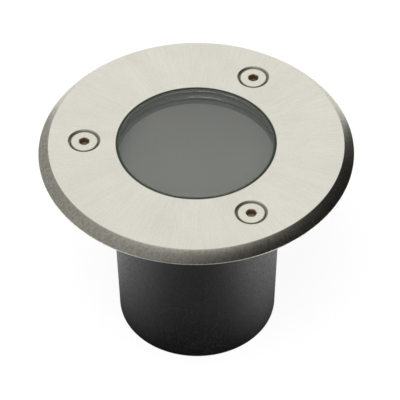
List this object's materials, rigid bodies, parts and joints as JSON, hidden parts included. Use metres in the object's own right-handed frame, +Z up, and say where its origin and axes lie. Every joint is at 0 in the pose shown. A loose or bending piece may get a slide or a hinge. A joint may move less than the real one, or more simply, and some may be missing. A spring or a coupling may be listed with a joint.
{
  "type": "in-ground well light",
  "caption": "Round in-ground well light: bevelled brushed steel trim plate with flush glass, screwed onto a tapered cast pot that holds a reflector lamp, with a side cable gland.",
  "frame": {"origin": "centre of the flat base, at the height of the surface that it stands on", "axes": "+Z up through the middle of the glass, +Y out along the cable gland, -X towards one of the three trim screws"},
  "size_m": [0.11, 0.11, 0.081],
  "materials": {
    "charcoal_coat": "fine textured powder coat on cast aluminium",
    "brushed_stainless": "fine brushing that runs out from the centre",
    "screw_stainless": "plain machined stainless",
    "clear_glass": "clear toughened glass, greenish at the edge",
    "satin_glass": "satin, evenly frosted",
    "lamp_glass": "clear",
    "lamp_mirror": "coated reflector",
    "dark_sealant": "smooth bead",
    "grey_silicone": "matt",
    "black_rubber": "matt",
    "black_polymer": "matt",
    "ivory_polymer": "matt moulded",
    "white_silicone": "smooth sleeve",
    "white_ceramic": "unglazed ceramic",
    "zinc_steel": "zinc plated",
    "nickel_wire": "nickel plated",
    "nickel_brass": "nickel plated, satin",
    "brass": "bright turned brass"
  },
  "bodies": {
    "pot": {"pot_body": "charcoal_coat", "boss_inserts": "brass", "disc_spacer": "black_polymer", "frosted_disc": "satin_glass", "lamp_reflector": "lamp_mirror", "lamp_front_glass": "lamp_glass", "lamp_cap": "white_ceramic", "lamp_capsule": "lamp_glass", "lamp_pins": "nickel_wire", "lamp_holder": "white_ceramic", "holder_contacts": "brass", "holder_screws": "zinc_steel", "lamp_bracket": "zinc_steel", "bracket_screws": "zinc_steel", "terminal_block": "ivory_polymer", "terminal_clamps": "brass", "terminal_screws": "zinc_steel", "terminal_fixing_screw": "zinc_steel", "holder_leads": "white_silicone", "gland_body": "nickel_brass", "gland_washer": "black_rubber", "gland_seal": "black_rubber"},
    "cover": {"trim_ring": "brushed_stainless", "glass_lens": "clear_glass", "glass_bond": "dark_sealant", "glass_gasket": "grey_silicone"},
    "screw_1": {"trim_screw_1": "screw_stainless"},
    "screw_2": {"trim_screw_2": "screw_stainless"},
    "screw_3": {"trim_screw_3": "screw_stainless"},
    "gland_cap": {"gland_nut": "nickel_brass"}
  },
  "joints": [
    {"name": "cover_lift", "type": "slide", "parent": "pot", "child": "cover", "axis": [0, 0, 1], "range_m": [0, 0.05]},
    {"name": "screw_1_turn", "type": "hinge", "parent": "cover", "child": "screw_1", "pos_m": [-0.039, 0, 0.0807], "axis": [0, 0, 1], "continuous": true},
    {"name": "screw_2_turn", "type": "hinge", "parent": "cover", "child": "screw_2", "pos_m": [0.0195, 0.03377, 0.0807], "axis": [0, 0, 1], "continuous": true},
    {"name": "screw_3_turn", "type": "hinge", "parent": "cover", "child": "screw_3", "pos_m": [0.0195, -0.03377, 0.0807], "axis": [0, 0, 1], "continuous": true},
    {"name": "gland_nut_turn", "type": "hinge", "parent": "pot", "child": "gland_cap", "pos_m": [0, 0.0395, 0.02], "axis": [0, 1, 0], "continuous": true}
  ]
}
